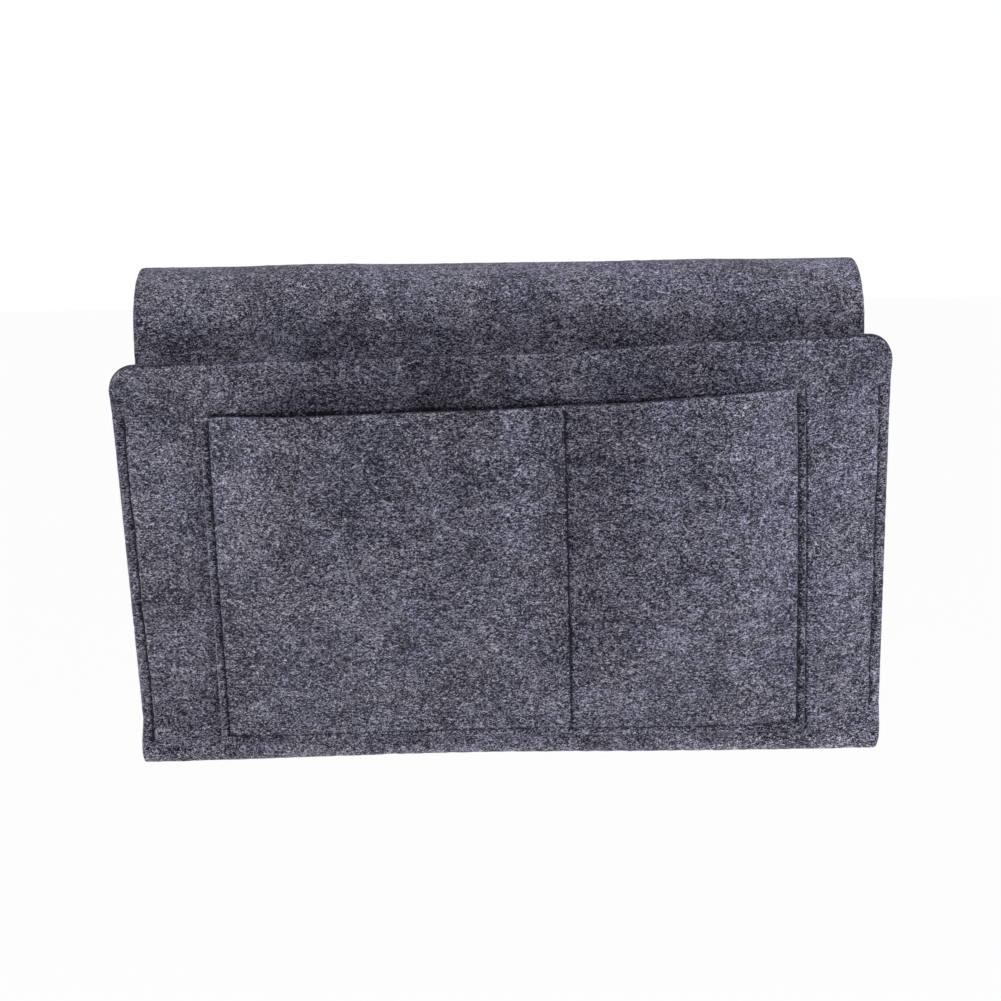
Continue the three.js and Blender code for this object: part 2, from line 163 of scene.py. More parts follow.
# how much darker the valley is: felt pressed by the seam, and painted shadow beside the pocket's edge
VALLEY_PRESS_AND_SHADOW = 0.55
CUT_SHADOW = 2.6  # painted shadow along an upper cut edge's top, where the gap behind it lies in shade
CUT_HIGHLIGHT = 0.75  # and a painted highlight just below
CUT_SHADOW_WIDTH = 0.36
CUT_HIGHLIGHT_AT, CUT_HIGHLIGHT_WIDTH = 1.0, 0.55
CUT_EASE = 20.0  # this begins above the side seams
SLIT_SHADOW = 3.6  # painted shadow on the front panel just behind the pocket's edge
SLIT_AT, SLIT_WIDTH = -0.5, 1.25
BESIDE_AT, BESIDE_WIDTH = 0.3, 0.7  # and painted shadow beside its right cut edge
LOW_EDGE_SHADE, LOW_EDGE_WIDTH = 0.7, 0.9  # painted shade on the pocket's lower cut edge, hiding the light it catches from below
LOW_SEAM = 0.6  # the seam along the pocket's bottom is looser
PULL = 0.35  # a seam pulls the pocket panel down by this much
RIM_TILT = 0.28  # the rims outside the side seams lean back, depth per width
RIM_FREE, RIM_EASE = 5.0, 20.0  # but not at the mouth
RIGHT_GROOVE = 0.85  # the right side seam is less deep than the left
RIM_SHADE = {-1: 0.15, 1: 0.55}  # painted shade on the pocket's left and right rims, outside its seam, more on the right
PITCH = 2.2  # spacing of a sheet's points
FINE_PITCH, FINE_REACH, FINE_CLEAR = 0.4, 3.0, 3.6  # columns about a place that needs more
FINE_STEP, FINE_ROWS = 0.5, 2.5  # and rows
FRONT_ROWS, FOLD_ROWS, BACK_ROWS, FLAT_ROWS, BEND_ROWS = 78, 15, 84, 26, 24


def ease(t):
    t = np.clip(t, 0.0, 1.0)
    return t * t * (3.0 - 2.0 * t)


def lerp(a, b, t):
    return a + (b - a) * t


def bump(x, centre, width):
    return np.exp(-(((x - centre) / width) ** 2))


def ripple(p, q, seed, least, most, count):
    """Soft random waviness over a sheet, about -1 to 1, of waves between the least and the most length."""
    own = np.random.default_rng(seed)
    total = 0.0
    for _ in range(count):
        k = 2.0 * math.pi / own.uniform(least, most)
        angle = own.uniform(0.0, math.pi)
        total = total + np.sin(k * (p * math.cos(angle) + q * math.sin(angle)) + own.uniform(0.0, 6.28))
    return total / math.sqrt(count)


def world(x, h, d):
    """From width, height above the fold and depth in front of the back panel to the frame."""
    x, h, d = np.broadcast_arrays(x, h, d)
    hung = LEAN * np.maximum(0.0, JOIN_HEIGHT - h) - FOLD_SHIFT * ease(1.0 - h / SEAM_LOW)
    return np.stack([x + hung, BACK_Y - d, FOLD_Z + h], -1).astype(float)


# The pouch's surfaces
def cut_half(v):
    low = lerp(FOLD_WIDTH, LOW_WIDTH, np.clip((v - FOLD_TOP) / (SEAM_LOW - FOLD_TOP), 0, 1)) / 2
    high = lerp(LOW_WIDTH, MOUTH_WIDTH, (v - SEAM_LOW) / (FRONT_HEIGHT - SEAM_LOW)) / 2
    return np.where(v < SEAM_LOW, low, high)


def front_half(v):
    into = np.clip(v - (FRONT_HEIGHT - CORNER), 0.0, CORNER)
    return cut_half(v) - CORNER + np.sqrt(CORNER**2 - into**2)


def back_half(h):
    start = SEAM_TOP + MOUTH_RISE / 2
    t = np.clip((h - start) / SHOULDER, 0.0, 1.0)
    return lerp(cut_half(np.minimum(h, start)), TONGUE_HALF, ease(t))


def seam_x(v):
    return cut_half(v) - SEAM_INSET + sum(deep * np.sin(v / long + start) for deep, long, start in SEAM_WAVES)


def bow(x, h):
    """How much higher the fold hangs."""
    return BOTTOM_BOW * bump(x, BOW_AT, BOW_WIDTH) * (1 - ease((h - FOLD_TOP) / BOW_HEIGHT))


def up_at(x, v):
    """Height of a place on the front panel: its upper edge is cut at a slant."""
    share = np.clip((v - FOLD_TOP) / (FRONT_HEIGHT - FOLD_TOP), 0.0, 1.0)
    wave = sum(rise * bump(x, at, width) for rise, at, width in MOUTH_WAVES)
    return v + MOUTH_RISE * x / MOUTH_WIDTH * share + wave * share**3 + bow(x, v)


def rim_lean(x, v):
    """How far the rims outside the side seams lean back."""
    sewn_here = ease((v - FOLD_TOP) / (SEAM_LOW - FOLD_TOP)) * ease((SEAM_TOP + RIM_FREE - v) / RIM_EASE)
    return RIM_TILT * np.maximum(0.0, np.abs(x) - cut_half(v) + SEAM_INSET) * sewn_here


def front_inner(x, v):
    t = (v - FOLD_TOP) / (FRONT_HEIGHT - FOLD_TOP)
    middle = lerp(FOLD_GAP, MOUTH_GAP, t * (1 + BELLY * (1 - t)))
    pinched = lerp(FOLD_GAP, SEAT, ease((v - FOLD_TOP) / (SEAM_LOW - FOLD_TOP)))
    freed = CORNER_OPEN * np.clip((v - SEAM_TOP) / (FRONT_HEIGHT - SEAM_TOP), 0, 1) ** 2
    inside = cut_half(v) - SEAM_INSET
    share = np.clip((inside - np.abs(x)) / (inside - FLAT_HALF), 0, 1)
    full = FULLNESS * (1 - FULL_LOSS * ease((v - FULL_TO) / (FRONT_HEIGHT - FULL_TO)))
    dome = lerp(ease(share), share * (2 - share), full)
    wavy = FRONT_WAVE * ripple(x, v, seed=3, least=55, most=130, count=5) * dome * np.clip(t, 0, 1)
    return lerp(pinched + freed, middle, dome) + wavy - rim_lean(x, v)


def front_mid(x, v):
    return world(x, up_at(x, v), front_inner(x, v) + FELT / 2)


def back_mid(x, h):
    return world(x, h + bow(x, h), -FELT / 2 - rim_lean(x, h))


def slope_length(x, v):
    apart = 0.5
    dx = (front_inner(x + apart, v) - front_inner(x - apart, v)) / (2 * apart)
    dv = (front_inner(x, v + apart) - front_inner(x, v - apart)) / (2 * apart)
    return np.sqrt(1 + dx**2 + dv**2)


def compartments(a, seam, divider, bulge):
    """How far a divided pocket stands off at a place across it."""
    start = np.where(a < divider, -seam, divider)
    stop = np.where(a < divider, divider, seam)
    width = np.minimum(BULGE_EASE, (stop - start) / 2)
    return bulge * ease((a - start) / width) * ease((stop - a) / width)


def on_front(a, b):
    """Place on the front panel under a place on the outer pocket."""
    x = POCKET_SHIFT + a * math.cos(POCKET_TURN) - b * math.sin(POCKET_TURN)
    return x, POCKET_LOW + b * math.cos(POCKET_TURN) + a * math.sin(POCKET_TURN)


def on_pocket(x, v):
    """And the other way."""
    x, v = x - POCKET_SHIFT, v - POCKET_LOW
    a = x * math.cos(POCKET_TURN) + v * math.sin(POCKET_TURN)
    return a, v * math.cos(POCKET_TURN) - x * math.sin(POCKET_TURN)


def pocket_pressed(a, b):
    """1 along the outer pocket's edge seam, falling off beside it."""
    side = np.abs(np.abs(a) - POCKET_SEAM)
    below = np.abs(b - POCKET_INSET)
    side = np.where(b < POCKET_INSET, np.hypot(side, below), side)
    below = np.where(np.abs(a) > POCKET_SEAM, np.hypot(side, below), below)
    near = np.maximum(bump(side, 0.0, VALLEY_WIDTH), LOW_SEAM * bump(below, 0.0, VALLEY_WIDTH))
    return near * ease((POCKET_HEIGHT + VALLEY_PAST - b) / VALLEY_EASE)


def pocket_mid(a, b):
    x, v = on_front(a, b)
    out = ease((b - POCKET_INSET) / BULGE_RISE)
    rise = compartments(a, POCKET_SEAM, DIVIDER, POCKET_BULGE) * out
    loose = ease((b - POCKET_INSET) / LOOSE_HEIGHT) * np.clip(rise / LOOSE_RISE, 0, 1)
    wavy = POCKET_WAVE * ripple(a, b, seed=5, least=40, most=90, count=5) * loose
    depth = front_inner(x, v) + FELT * slope_length(x, v) + SEAT + rise + wavy - PULL * pocket_pressed(a, b)
    slant = POCKET_SLANT * ease((a - SLANT_FROM) / SLANT_OVER) * np.clip(b / POCKET_HEIGHT, 0, 1) ** 3
    return world(x, up_at(x, v) + slant, depth + FELT / 2)


def inner_mid(a, b):
    out = np.clip((b - POCKET_INSET) / (INNER_HEIGHT - POCKET_INSET), 0, 1)
    rise = compartments(a, INNER_SEAM, INNER_DIVIDER, INNER_BULGE) * out
    return world(a, INNER_LOW + b, SEAT + rise + FELT / 2)


# Materials
def add(tree, kind, **settings):
    node = tree.nodes.new(kind)
    for key, value in settings.items():
        setattr(node, key, value)
    return node


def put(tree, socket, value):
    if isinstance(value, bpy.types.NodeSocket):
        tree.links.new(value, socket)
    else:
        socket.default_value = value


def calc(tree, operation, a, b=None, c=None):
    node = add(tree, "ShaderNodeMath", operation=operation)
    for socket, value in zip(node.inputs, (a, b, c)):
        if value is not None:
            put(tree, socket, value)
    return node.outputs[0]


NOISE_TILT = (0.6, 0.2)  # noise cut at a slant doesn't show its lattice


def noise(tree, place, scale, stretch=1.0, turn=0.0, detail=1.0, rough=0.5, warp=0.0):
    """Noise about 0 over the felt's flat cut, in features per metre, drawn out along a direction."""
    turned = add(tree, "ShaderNodeMapping", vector_type="TEXTURE")
    put(tree, turned.inputs["Vector"], place)
    turned.inputs["Location"].default_value = tuple(dice.uniform(1.0, 9.0, 3))
    turned.inputs["Rotation"].default_value = (*NOISE_TILT, turn)
    turned.inputs["Scale"].default_value = (stretch, 1.0, 1.0)
    made = add(tree, "ShaderNodeTexNoise")
    put(tree, made.inputs["Vector"], turned.outputs[0])
    made.inputs["Scale"].default_value = scale
    made.inputs["Detail"].default_value = detail
    made.inputs["Roughness"].default_value = rough
    made.inputs["Distortion"].default_value = warp
    return calc(tree, "SUBTRACT", made.outputs["Fac"], 0.5)


def step(tree, value, zero, one):
    """0 up to one value, 1 from the other on, and smooth between."""
    node = add(tree, "ShaderNodeMapRange", interpolation_type="SMOOTHSTEP")
    put(tree, node.inputs["Value"], value)
    node.inputs["From Min"].default_value = zero
    node.inputs["From Max"].default_value = one
    return node.outputs[0]


def strands(tree, place, scale, stretch, turn, width, warp):
    """Thin curled lines, 1 on a line and 0 off it."""
    value = noise(tree, place, scale, stretch, turn, detail=0.0, warp=warp)
    return step(tree, calc(tree, "ABSOLUTE", value), width, 0.0)


def hair(tree, place, scale, turn):
    """Light fibres lying on the felt, broken into short lengths."""
    line = strands(tree, place, scale, stretch=2.6, turn=turn, width=0.04, warp=1.6)
    kept = noise(tree, place, 0.9 * scale, stretch=1.4, turn=turn, detail=0.0, warp=1.0)
    kept = step(tree, kept, 0.03, 0.10)
    return calc(tree, "MULTIPLY", line, kept)


def weighed(tree, parts, total=0.0):
    for value, weight in parts:
        total = calc(tree, "MULTIPLY_ADD", value, weight, total)
    return total


def ramp(tree, value, stops):
    node = add(tree, "ShaderNodeValToRGB")
    while len(node.color_ramp.elements) < len(stops):
        node.color_ramp.elements.new(0.5)
    for element, (at, colour) in zip(node.color_ramp.elements, stops):
        element.position = at
        element.color = (*colour, 1.0)
    put(tree, node.inputs[0], value)
    return node.outputs[0]


def relief(tree, shader, height, strength, distance):
    node = add(tree, "ShaderNodeBump")
    node.inputs["Strength"].default_value = strength
    node.inputs["Distance"].default_value = distance
    put(tree, node.inputs["Height"], height)
    put(tree, shader.inputs["Normal"], node.outputs[0])


# Features per metre and direction of each set of the felt's fibres, and what each kind adds to its shade
FIBRES = ((2700, 0.05), (2900, 0.45), (2500, -0.4))
CURLS = ((1000, 0.1), (1120, 0.6), (880, -0.5), (1050, 0.3))
GAPS = ((900, 0.3), (820, -0.35), (980, 0.0))
HAIRS = ((420, -0.45), (480, 0.1), (380, 0.65), (450, 1.3), (640, 0.3), (600, -0.2))
FIBRE_SHADE, CURL_SHADE, GAP_SHADE, HAIR_SHADE = 4.4, 0.20, -0.08, 0.48
CLUMP_SHADE, BLOTCH_SHADE, CLOUD_SHADE, PRESS_AND_PAINTED_SHADE_WEIGHT = 1.1, 1.3, 0.7, -0.30
BASE_SHADE = -0.31
PALEST = 0.85  # without the hairs that lie on it
HAIRLESS, HAIRY = 1.0, 0.3  # no hairs lie where seams and painted shade darken the felt more than the first, all below the other
FELT_COLOURS = (
    (0.0, (0.008, 0.008, 0.012)),
    (0.25, (0.034, 0.033, 0.048)),
    (0.5, (0.100, 0.096, 0.140)),
    (0.75, (0.225, 0.218, 0.298)),
    (1.0, (0.56, 0.55, 0.66)),
)
FELT_TINTS = ((0.0, (1.0, 0.99, 0.95)), (1.0, (0.94, 0.95, 1.0)))
THREAD_COLOURS = ((0.0, (0.007, 0.008, 0.014)), (0.5, (0.014, 0.016, 0.026)), (1.0, (0.038, 0.042, 0.062)))


def felt_material():
    """Needle-punched felt: pale and dark fibres, tufts and blotches, darker where a seam presses it, with
    painted shadows and highlights along edges.
    """
    made = bpy.data.materials.new("felt")
    made.use_nodes = True
    tree = made.node_tree
    shader = tree.nodes["Principled BSDF"]
    place = add(tree, "ShaderNodeAttribute", attribute_name="felt_place").outputs["Vector"]
    press_and_shade = add(tree, "ShaderNodeAttribute", attribute_name="felt_press_and_painted_shade").outputs["Fac"]
    fibres = [noise(tree, place, s, stretch=3.8, turn=t, detail=0.0, warp=1.6) for s, t in FIBRES]
    curls = [strands(tree, place, s, stretch=2.5, turn=t, width=0.08, warp=2.0) for s, t in CURLS]
    gaps = [strands(tree, place, s, stretch=2.4, turn=t, width=0.08, warp=2.0) for s, t in GAPS]
    hairs = [hair(tree, place, s, t) for s, t in HAIRS]
    clumps = noise(tree, place, scale=230, stretch=2.2, turn=0.1, detail=2.0, rough=0.6, warp=0.5)
    blotches = noise(tree, place, scale=70, stretch=1.3, turn=0.1, detail=3.0, rough=0.55, warp=0.6)
    clouds = noise(tree, place, scale=22, stretch=1.2, detail=2.0, warp=0.4)
    mix = [(v, FIBRE_SHADE) for v in fibres]
    mix += [(v, CURL_SHADE) for v in curls] + [(v, GAP_SHADE) for v in gaps]
    # the darkening attribute holds where seams press the felt, plus painted shadows and highlights along
    # edges
    mix += [(clumps, CLUMP_SHADE), (blotches, BLOTCH_SHADE), (clouds, CLOUD_SHADE), (press_and_shade, PRESS_AND_PAINTED_SHADE_WEIGHT)]
    shade = weighed(tree, mix, BASE_SHADE)
    shade = calc(tree, "MINIMUM", calc(tree, "MAXIMUM", shade, 0.0), PALEST)
    bare = calc(tree, "MULTIPLY", step(tree, press_and_shade, HAIRLESS, HAIRY), HAIR_SHADE)
    shade = weighed(tree, [(v, bare) for v in hairs], shade)
    drift = noise(tree, place, scale=45, stretch=1.3, turn=0.4, detail=2.0, warp=0.5)
    tinted = add(tree, "ShaderNodeVectorMath", operation="MULTIPLY")
    put(tree, tinted.inputs[0], ramp(tree, shade, FELT_COLOURS))
    put(tree, tinted.inputs[1], ramp(tree, weighed(tree, [(drift, 3.0)], 0.5), FELT_TINTS))
    put(tree, shader.inputs["Base Color"], tinted.outputs[0])
    shader.inputs["Roughness"].default_value = 0.95
    shader.inputs["Specular IOR Level"].default_value = 0.12
    shader.inputs["Sheen Weight"].default_value = 0.10
    shader.inputs["Sheen Roughness"].default_value = 0.45
    shader.inputs["Sheen Tint"].default_value = (0.80, 0.80, 0.90, 1.0)
    height = weighed(tree, [(v, 1.0) for v in fibres] + [(v, 0.15) for v in curls] + [(clumps, 0.8)])
    relief(tree, shader, height, strength=0.5, distance=0.0006)
    return made


def thread_material():
    """Dull twisted thread."""
    made = bpy.data.materials.new("thread")
    made.use_nodes = True
    tree = made.node_tree
    shader = tree.nodes["Principled BSDF"]
    place = add(tree, "ShaderNodeAttribute", attribute_name="thread_place").outputs["Vector"]
    twist = add(tree, "ShaderNodeTexWave", bands_direction="DIAGONAL")
    put(tree, twist.inputs["Vector"], place)
    twist.inputs["Scale"].default_value = 1.0
    twist.inputs["Distortion"].default_value = 0.6
    twist.inputs["Detail"].default_value = 1.0
    mottle = noise(tree, place, scale=2.2, detail=2.0)
    value = weighed(tree, [(twist.outputs["Fac"], 0.45), (mottle, 0.8)], 0.25)
    put(tree, shader.inputs["Base Color"], ramp(tree, value, THREAD_COLOURS))
    shader.inputs["Roughness"].default_value = 0.75
    shader.inputs["Specular IOR Level"].default_value = 0.25
    relief(tree, shader, twist.outputs["Fac"], strength=0.5, distance=0.0001)
    return made


felt = felt_material()
thread = thread_material()


# Meshes
def mesh_object(name, points, faces, material):
    mesh = bpy.data.meshes.new(name)
    mesh.from_pydata((np.asarray(points) * MM).tolist(), [], faces)
    mesh.polygons.foreach_set("use_smooth", np.ones(len(mesh.polygons), bool))
    mesh.materials.append(material)
    obj = bpy.data.objects.new(name, mesh)
    bpy.context.scene.collection.objects.link(obj)
    return obj


def keep(obj, name, kind, values):
    """Stores values on an object's points for its material."""
    made = obj.data.attributes.new(name, kind, "POINT")
    field = "vector" if kind == "FLOAT_VECTOR" else "value"
    made.data.foreach_set(field, np.asarray(values, np.float32).ravel())


# A sheet's points lie this far from its cut edge: round the edge, about its seam and then wider apart
ROUND_STEPS = [0, 0.12, 0.3, 0.55, 0.85, 1.2, 1.7]
SEAM_STEPS = [2.2, 2.6, 3.0, 3.4, 3.8, 4.2, 4.6, 5.0, 5.4, 5.8]
EDGE_STEPS = np.array(ROUND_STEPS + SEAM_STEPS + [6.3, 7.0, 8.0, 9.3, 11.0])


def spread(half, extra=()):
    """Places across a sheet of that half width: close together at its edges and at the extra places."""
    inner = half - EDGE_STEPS[-1]
    middle = np.linspace(-inner, inner, int(2 * inner / PITCH) + 1)[1:-1]
    near = [c + o for c in extra for o in np.arange(-FINE_REACH, FINE_REACH + 0.01, FINE_PITCH)]
    middle = [m for m in middle if all(abs(m - c) > FINE_CLEAR for c in extra)]
    return np.array(sorted(list(EDGE_STEPS - half) + middle + near + list(half - EDGE_STEPS)))


def fitted(half, columns):
    """The same columns on a row of another half width, in step with its edges."""
    widest = columns[-1]
    kept = widest - EDGE_STEPS[-1]
    outer = np.sign(columns) * (half - widest + np.abs(columns))
    return np.where(np.abs(columns) > kept, outer, columns * (half - EDGE_STEPS[-1]) / kept)


def seam_dent(off, along, start, stop):
    """Depth of the groove that a seam makes, and how much it presses the felt."""
    begun = ease((along - start + SEAM_FADE) / (2 * SEAM_FADE))
    inside = begun * ease((stop + SEAM_FADE - along) / (2 * SEAM_FADE))
    hole = 1 - HOLE + HOLE * np.cos(2 * np.pi * (along - start) / STITCH)
    groove = GROOVE * hole * bump(off, 0.0, GROOVE_WIDTH)
    ridge = RIDGE * bump(np.abs(off), RIDGE_AT, RIDGE_WIDTH)
    return inside * (groove - ridge), inside * bump(off, 0.0, PRESSED_WIDTH)


def cut_shadow_and_highlight(edge):
    """Painted shadow along an upper cut edge and a painted highlight just below it, at a distance from it."""
    return CUT_SHADOW * bump(edge, 0.0, CUT_SHADOW_WIDTH) - CUT_HIGHLIGHT * bump(edge, CUT_HIGHLIGHT_AT, CUT_HIGHLIGHT_WIDTH)


def unit(v):
    return v / np.maximum(np.linalg.norm(v, axis=-1, keepdims=True), 1e-9)


def felt_sheet(name, mid, edge, flat, sign, dent=0.0, press_and_shade=0.0, layer=1.0):
    """A closed sheet of felt about a grid of middle points.

    edge is each point's distance from the cut edge, flat its place on the flat cut, sign the side of its
    outer face, dent how far that face is pulled in, and the darkening argument how much darker it is where
    seams press it, plus painted shade, and painted highlight where it is below 0.
    """
    along, across = unit(np.gradient(mid, axis=0)), unit(np.gradient(mid, axis=1))
    n = unit(sign * np.cross(along, across))
    p, q = flat[..., 0], flat[..., 1]
    fray = FRAY * np.exp(-edge / FRAY_REACH)
    mid = mid + across * (fray * ripple(p, q, seed=22, least=2.5, most=8, count=8))[..., None]
    mid = mid + along * (fray * ripple(p, q, seed=23, least=2.5, most=8, count=8))[..., None]
    t = 1 - np.clip(edge / EDGE_ROUND, 0, 1)
    part = np.sqrt(np.maximum(0.0, 1 - t**2))
    half = FELT / 2 * part
    nap = NAP * ripple(p, q, seed=21, least=3, most=10, count=8)
    outer = mid + n * (half + (nap - dent) * part)[..., None]
    inner = mid - n * half[..., None]
    rows, cols = edge.shape
    out_at = np.arange(rows * cols).reshape(rows, cols)
    single = half <= 0
    in_at = out_at.copy()
    in_at[~single] = rows * cols + np.arange(int((~single).sum()))

    def quads(at, turned):
        corners = [at[:-1, :-1], at[1:, :-1], at[1:, 1:], at[:-1, 1:]]
        return np.stack(corners[::-1] if turned else corners, -1).reshape(-1, 4).tolist()

    faces = quads(out_at, sign < 0) + quads(in_at, sign > 0)
    sharp = set()
    for row, back in ((0, sign > 0), (-1, sign < 0)):
        o, i = out_at[row], in_at[row]
        if (o != i).any():
            for k in range(cols - 1):
                wall = list(dict.fromkeys([int(o[k]), int(o[k + 1]), int(i[k + 1]), int(i[k])]))
                faces.append(wall if back else wall[::-1])
                sharp |= {tuple(sorted((int(e[k]), int(e[k + 1])))) for e in (o, i)}
    obj = mesh_object(name, np.concatenate([outer.reshape(-1, 3), inner[~single]]), faces, felt)
    layer = half * layer
    place = np.concatenate([np.dstack([flat, layer]).reshape(-1, 3), np.dstack([flat, -layer])[~single]])
    keep(obj, "felt_place", "FLOAT_VECTOR", place * MM)
    press_and_shade = np.broadcast_to(press_and_shade, edge.shape)
    keep(obj, "felt_press_and_painted_shade", "FLOAT", np.concatenate([press_and_shade.ravel(), 0 * press_and_shade[~single]]))
    if sharp:
        ends = np.zeros(len(obj.data.edges) * 2, np.int32)
        obj.data.edges.foreach_get("vertices", ends)
        flags = np.array([tuple(sorted(e)) in sharp for e in ends.reshape(-1, 2).tolist()])
        obj.data.attributes.new("sharp_edge", "BOOLEAN", "EDGE").data.foreach_set("value", flags)
    return obj


def round_edge(side, end):
    """Distance from the cut edge of a sheet with rounded corners, from those to its side and its end."""
    into = (side < CORNER) & (end < CORNER)
    reach = np.hypot(np.maximum(0, CORNER - side), np.maximum(0, CORNER - end))
    return np.maximum(0.0, np.where(into, CORNER - reach, np.minimum(side, end)))


# The main sheet's pouch: front panel, bottom fold and back panel in one piece
NARROWER = 0.975  # the columns lie this much closer at a pocket's height than at the mouth
pocket_edge = POCKET_WIDTH / 2 + BESIDE_AT
fine_places = (-pocket_edge, -INNER_SEAM, INNER_DIVIDER, INNER_SEAM, pocket_edge)
columns = spread(MOUTH_WIDTH / 2, [x / NARROWER for x in fine_places])


def rows_with(low, high, count, fine):
    """Heights from low to high, close together about the fine one."""
    even = [h for h in np.linspace(low, high, count) if abs(h - fine) > FINE_REACH]
    return np.array(sorted(even + list(fine + np.arange(-FINE_ROWS, FINE_ROWS + 0.1, FINE_STEP))))


slit_height = POCKET_LOW + POCKET_HEIGHT + SLIT_AT
front_main = rows_with(FOLD_TOP, FRONT_HEIGHT - EDGE_STEPS[-1], FRONT_ROWS, slit_height)
front_rows = np.concatenate([FRONT_HEIGHT - EDGE_STEPS, front_main[-2::-1]])
turn_rows = np.linspace(0, math.pi, FOLD_ROWS)[1:-1]
back_rows = rows_with(FOLD_TOP, JOIN_HEIGHT, BACK_ROWS, INNER_LOW + POCKET_INSET)
fold_radius = FOLD_TOP - FELT / 2
fold_flat = FOLD_TOP - math.pi * fold_radius
grid = {"mid": [], "edge": [], "flat": [], "dent": [], "press_and_shade": []}


def add_row(x, mid, edge, flat, dent=0.0, press_and_shade=0.0):
    edge = np.maximum(edge, 0.0)
    edge[[0, -1]] = 0.0
    flat = np.column_stack([x, np.full_like(x, flat)])
    for key, value in zip(grid, (mid, edge, flat, dent + 0 * x, press_and_shade + 0 * x)):
        grid[key].append(value)


def side_seams(x, v):
    """Groove and darkening of both side seams at one height."""
    return seam_dent(np.abs(x) - seam_x(v), v + 0 * x, np.where(x < 0, SEAM_END[-1], SEAM_END[1]), SEAM_TOP)


for v in front_rows:
    x = fitted(float(front_half(v)), columns)
    edge = round_edge(cut_half(v) - np.abs(x), FRONT_HEIGHT - v + 0 * x)
    dent, press_and_shade = side_seams(x, v)
    strength = np.where(x < 0, 1.0, RIGHT_GROOVE)
    dent, press_and_shade = strength * dent, strength * press_and_shade
    # painted shadow along the upper cut edge, with a painted highlight just below it
    cut = cut_shadow_and_highlight(edge) * ease((v - SEAM_TOP) / CUT_EASE)
    a, b = on_pocket(x, v + 0 * x)
    valley = pocket_pressed(a, b)
    # painted shadow on the front panel just behind the pocket's edge
    slit = SLIT_SHADOW * bump(b, POCKET_HEIGHT + SLIT_AT, SLIT_WIDTH) * (np.abs(a) < POCKET_SEAM)
    # painted shadow beside the pocket's right cut edge
    beside = CUT_SHADOW * bump(a, pocket_edge, BESIDE_WIDTH) * (b > 0) * (b < POCKET_HEIGHT)
    # the valley's darkening is partly pressed felt and partly painted shadow
    dark = press_and_shade + VALLEY_PRESS_AND_SHADOW * valley + slit + cut + beside
    add_row(x, front_mid(x, v + 0 * x), edge, v, dent + VALLEY * valley, dark)
grid["edge"][0][:] = 0.0
for turn in turn_rows:
    x = fitted(FOLD_WIDTH / 2 - FOLD_PINCH * math.sin(turn) ** 2, columns)
    h = FOLD_TOP - fold_radius * math.sin(turn)
    valley = pocket_pressed(*on_pocket(x, h + 0 * x)) * (turn < math.pi / 2)
    mid = world(x, h + bow(x, FOLD_TOP), FOLD_GAP / 2 + fold_radius * math.cos(turn))
    # the valley's darkening here too is partly pressed felt and partly painted shadow
    add_row(x, mid, x[-1] - np.abs(x), FOLD_TOP - fold_radius * turn, VALLEY * valley, VALLEY_PRESS_AND_SHADOW * valley)
for h in back_rows:
    x = fitted(float(back_half(h)), columns)
    b = h - INNER_LOW + 0 * x
    top = INNER_HEIGHT - SEAM_SHORT
    seams = [
        side_seams(x, h),
        seam_dent(np.abs(x) - INNER_SEAM, b, POCKET_INSET, top),
        seam_dent(x - INNER_DIVIDER, b, POCKET_INSET, top),
        seam_dent(b - POCKET_INSET, x, -INNER_SEAM, INNER_SEAM),
    ]
    dent = np.minimum(sum(s[0] for s in seams), GROOVE)
    press_and_shade = np.minimum(sum(s[1] for s in seams), 1.0)
    add_row(x, back_mid(x, h + 0 * x), x[-1] - np.abs(x), fold_flat - (h - FOLD_TOP), dent, press_and_shade)
grid = {key: np.array(value) for key, value in grid.items()}
# The front panel runs smoothly into the fold
mid = grid["mid"]
SMOOTH_ABOVE, SMOOTH_BELOW, SMOOTH_TIMES = 6, 4, 12
near = slice(len(front_rows) - SMOOTH_ABOVE, len(front_rows) + SMOOTH_BELOW)
above, below = (slice(near.start + k, near.stop + k) for k in (-1, 1))
for _ in range(SMOOTH_TIMES):
    mid[near] = 0.25 * mid[above] + 0.5 * mid[near] + 0.25 * mid[below]
pouch = felt_sheet("main_sheet_pouch", sign=1.0, **grid)
join_flat = fold_flat - (JOIN_HEIGHT - FOLD_TOP)

# The main sheet's stretches from the tongue's middle over each edge of the armrest
ROLL_MID = ROLL_RADIUS + FELT / 2
bend = math.pi / 2 * ROLL_MID


